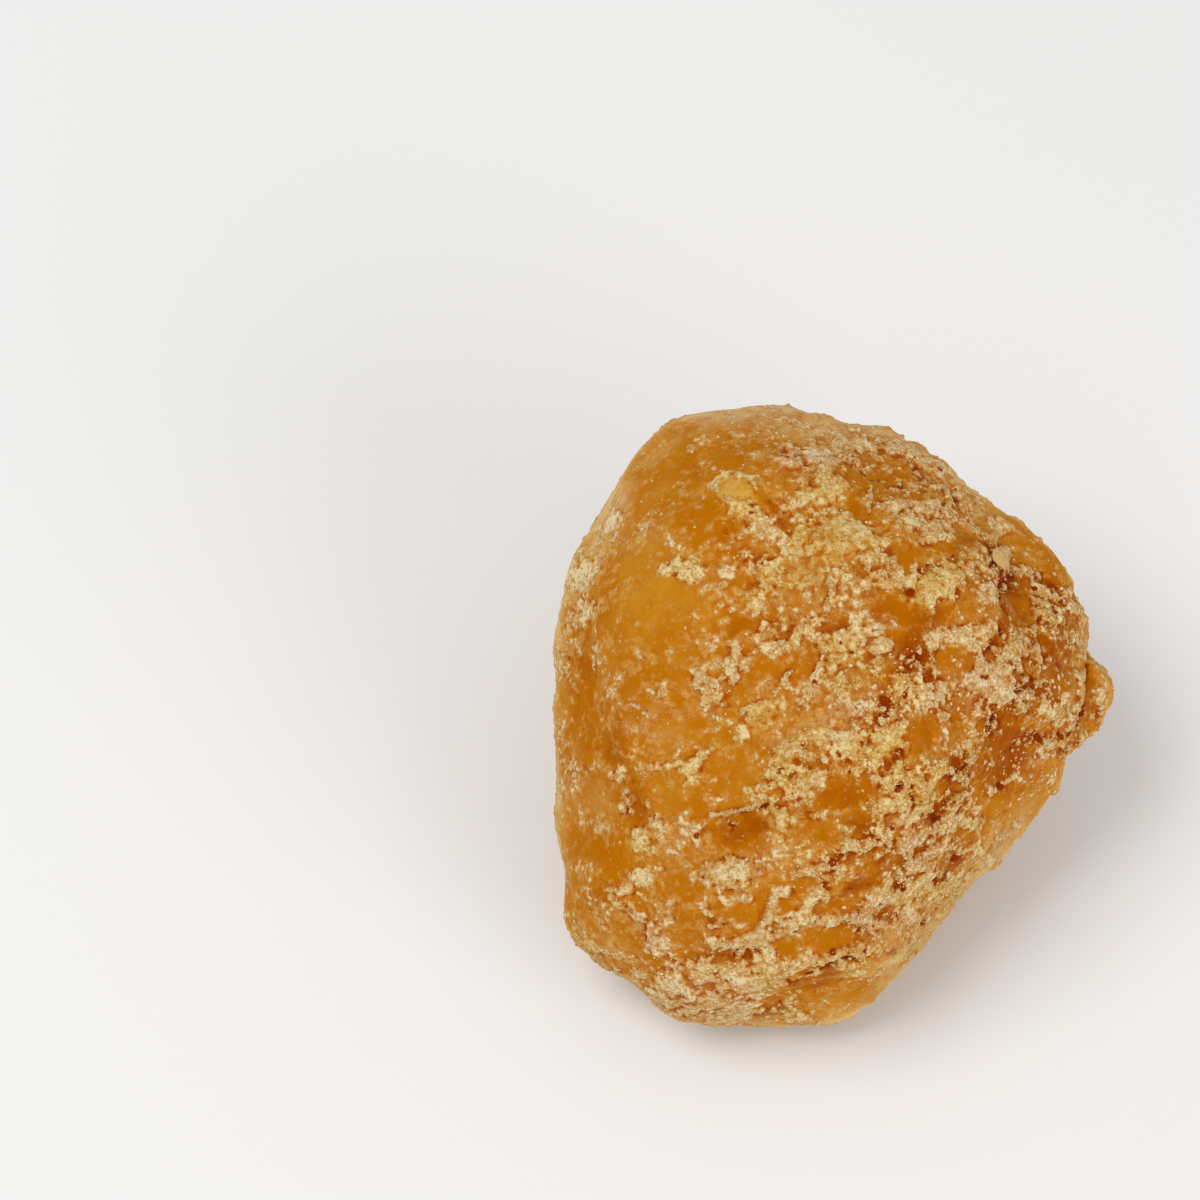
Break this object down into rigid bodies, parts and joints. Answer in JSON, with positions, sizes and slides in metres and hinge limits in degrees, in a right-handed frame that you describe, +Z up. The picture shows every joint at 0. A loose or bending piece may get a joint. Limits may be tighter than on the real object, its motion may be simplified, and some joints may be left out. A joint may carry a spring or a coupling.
{
  "type": "jaggery lump",
  "caption": "Hand-pressed lump of solid jaggery, many-sided and rounded, with a waxy amber face, pale crumbly crust and a small flat spot to rest on.",
  "frame": {"origin": "middle of the lump's bounding box in plan, at the height of the flat spot it rests on", "axes": "+Z up from the surface it lies on; the broad face looks up and towards -Y; +X to the right across that face, towards the small nub"},
  "size_m": [0.0558, 0.0558, 0.0435],
  "materials": {
    "jaggery": "waxy amber mass with a pale, dry, granular crust in patches"
  },
  "bodies": {
    "root": {"jaggery_block": "jaggery"}
  },
  "joints": []
}
